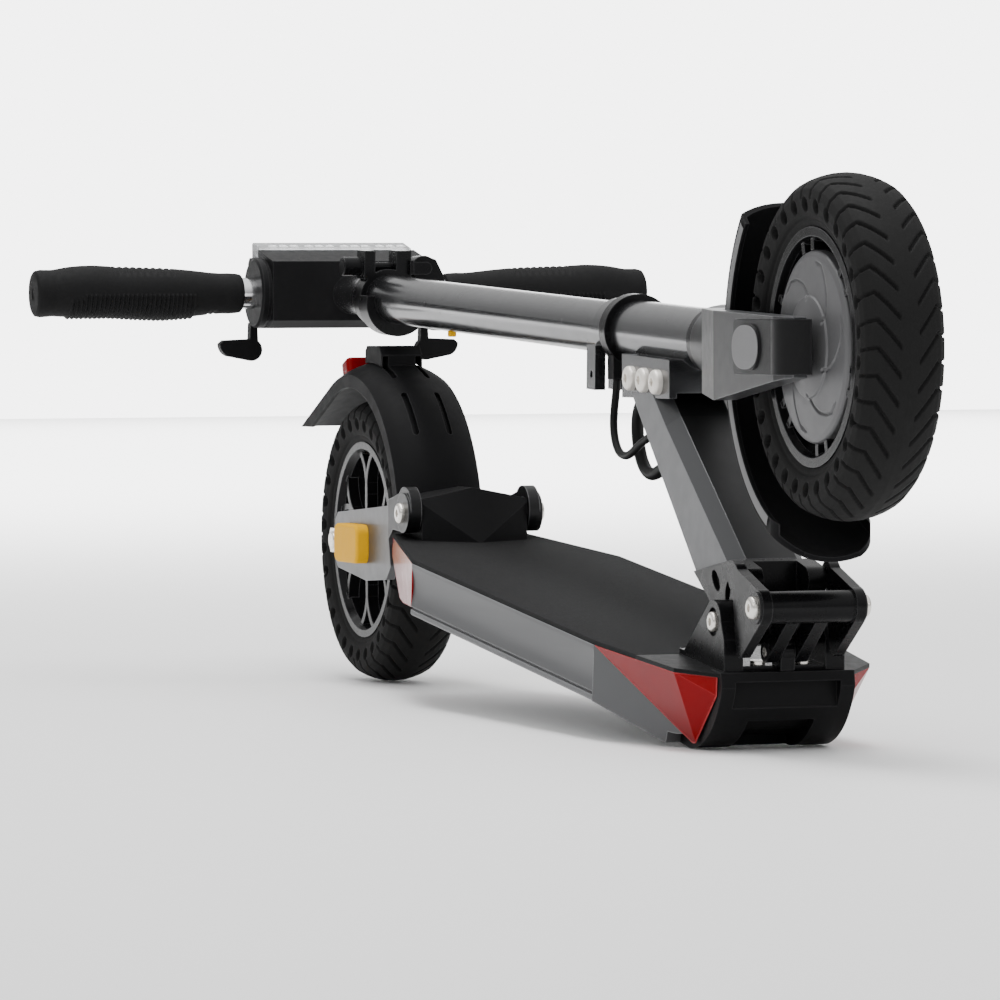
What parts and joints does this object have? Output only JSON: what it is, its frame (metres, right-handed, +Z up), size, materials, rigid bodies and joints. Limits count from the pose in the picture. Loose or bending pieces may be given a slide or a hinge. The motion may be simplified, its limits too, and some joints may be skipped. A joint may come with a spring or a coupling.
{
  "type": "folding electric kick scooter",
  "caption": "Folded stand-up electric scooter: deck with rear swing arm, folding neck, telescopic stem and handlebar, hub-motor front wheel, spoked rear wheel and curved mudguards.",
  "frame": {"origin": "on the ground under the middle of the folded scooter's length and width", "axes": "+X runs from the rear wheel towards the folding hinge and the front wheel, +Z is up, and +Y is the scooter's left side"},
  "size_m": [1.1218, 0.46, 0.3379],
  "materials": {
    "deck_metal": "satin",
    "frame_metal": "satin",
    "stem_metal": "gloss",
    "hinge_metal": "satin",
    "bright_steel": "polished",
    "bar_metal": "polished",
    "hub_metal": "cast satin",
    "rim_metal": "satin",
    "tyre_rubber": "matte",
    "grip_rubber": "matte",
    "mat_rubber": "grained",
    "black_plastic": "fine grain",
    "red_lens": "clear red",
    "clear_lens": "clear",
    "yellow_plastic": "satin",
    "screen_plastic": "gloss",
    "battery_wrap": "shrink film",
    "controller_metal": "finned",
    "cable_jacket": "satin"
  },
  "bodies": {
    "deck": {"deck_frame": "deck_metal", "deck_mat": "mat_rubber", "bottom_cover": "black_plastic", "deck_screws": "bright_steel", "battery_pack": "battery_wrap", "motor_controller": "controller_metal", "front_lenses": "red_lens", "rear_lenses": "red_lens", "front_end_cap": "black_plastic", "hinge_base": "hinge_metal", "hinge_pins": "bright_steel", "pivot_housing": "black_plastic", "stand_bracket": "hinge_metal"},
    "swing_arm": {"rear_arm": "frame_metal", "arm_pivot_bolt": "bright_steel", "rear_axle": "bright_steel", "side_reflectors": "yellow_plastic", "rear_fender": "black_plastic", "tail_light": "red_lens"},
    "rear_wheel": {"rear_tyre": "tyre_rubber", "rear_rim": "rim_metal", "rear_wheel_bearings": "bright_steel"},
    "neck": {"hinge_knuckle": "hinge_metal", "neck_arm": "frame_metal", "cable_covers": "black_plastic", "head_tube": "stem_metal", "gusset_screws": "bright_steel", "headset_bearings": "bright_steel", "headset_cups": "hinge_metal", "brake_cable_loop": "cable_jacket", "power_cable_loop": "cable_jacket"},
    "fold_lock": {"lock_lever": "hinge_metal", "lock_lever_bolt": "bright_steel"},
    "steering": {"fork": "frame_metal", "fork_covers": "black_plastic", "front_axle": "bright_steel", "front_fender": "black_plastic", "stem_tube": "stem_metal", "stem_base_clamp": "hinge_metal", "quick_release_clamp": "hinge_metal", "quick_release_bolt": "hinge_metal", "stow_hook": "hinge_metal", "motor_stator": "controller_metal"},
    "front_wheel": {"front_tyre": "tyre_rubber", "front_rim": "rim_metal", "motor_covers": "hub_metal", "front_wheel_bearings": "bright_steel"},
    "handlebar": {"inner_tube": "bar_metal", "handlebar_tube": "bar_metal", "control_housing_front": "black_plastic", "control_housing_back": "black_plastic", "display_window": "screen_plastic", "headlight_lens": "clear_lens", "grips": "grip_rubber"},
    "brake": {"brake_trigger": "black_plastic"},
    "throttle": {"throttle_trigger": "black_plastic"},
    "clamp_lever": {"quick_release_lever": "hinge_metal"},
    "switch": {"power_button": "black_plastic"},
    "height_catch": {"height_button": "yellow_plastic"},
    "stand": {"kickstand": "hinge_metal"}
  },
  "joints": [
    {"name": "stem_fold", "type": "hinge", "parent": "deck", "child": "neck", "pos_m": [0.3449, 0, 0.076], "axis": [0, 1, 0], "range_deg": [0, 75]},
    {"name": "fold_lock_pivot", "type": "hinge", "parent": "deck", "child": "fold_lock", "pos_m": [0.3639, 0, 0.0585], "axis": [0, 1, 0], "range_deg": [0, 25], "stiffness_Nm_per_rad": 0.4, "springref_deg": -28.65},
    {"name": "rear_suspension", "type": "hinge", "parent": "deck", "child": "swing_arm", "pos_m": [-0.2271, 0, 0.124], "axis": [0, 1, 0], "range_deg": [0, 1.6], "stiffness_Nm_per_rad": 500, "springref_deg": -3.44},
    {"name": "rear_wheel_spin", "type": "hinge", "parent": "swing_arm", "child": "rear_wheel", "pos_m": [-0.4051, 0, 0.1], "axis": [0, 1, 0], "continuous": true},
    {"name": "steering_turn", "type": "hinge", "parent": "neck", "child": "steering", "pos_m": [0.1129, 0, 0.24719], "axis": [-0.9991, 0, 0.0427], "range_deg": [-35, 35]},
    {"name": "front_wheel_spin", "type": "hinge", "parent": "steering", "child": "front_wheel", "pos_m": [0.4609, 0, 0.238], "axis": [0, 1, 0], "continuous": true},
    {"name": "stem_height", "type": "slide", "parent": "steering", "child": "handlebar", "axis": [-0.9991, 0, 0.0427], "range_m": [0, 0.085]},
    {"name": "brake_press", "type": "hinge", "parent": "handlebar", "child": "brake", "pos_m": [-0.5191, 0, 0.2742], "axis": [0, -1, 0], "range_deg": [0, 30], "stiffness_Nm_per_rad": 0.3, "springref_deg": -11.46},
    {"name": "throttle_press", "type": "hinge", "parent": "handlebar", "child": "throttle", "pos_m": [-0.5191, 0, 0.2742], "axis": [0, -1, 0], "range_deg": [0, 30], "stiffness_Nm_per_rad": 0.3, "springref_deg": -11.46},
    {"name": "clamp_lever_turn", "type": "hinge", "parent": "steering", "child": "clamp_lever", "pos_m": [-0.4161, 0.0263, 0.291], "axis": [1, 0, 0], "range_deg": [0, 100]},
    {"name": "power_button_press", "type": "slide", "parent": "handlebar", "child": "switch", "axis": [1, 0, 0], "range_m": [0, 0.001], "stiffness_N_per_m": 400, "springref_m": -0.001},
    {"name": "height_button_press", "type": "slide", "parent": "steering", "child": "height_catch", "axis": [0, 0, 1], "range_m": [0, 0.0025], "stiffness_N_per_m": 400, "springref_m": -0.002},
    {"name": "stand_swing", "type": "hinge", "parent": "deck", "child": "stand", "pos_m": [-0.1112, 0.06, 0.04856], "axis": [0, 1, 0], "range_deg": [0, 95], "stiffness_Nm_per_rad": 0.2, "springref_deg": -34.38}
  ]
}
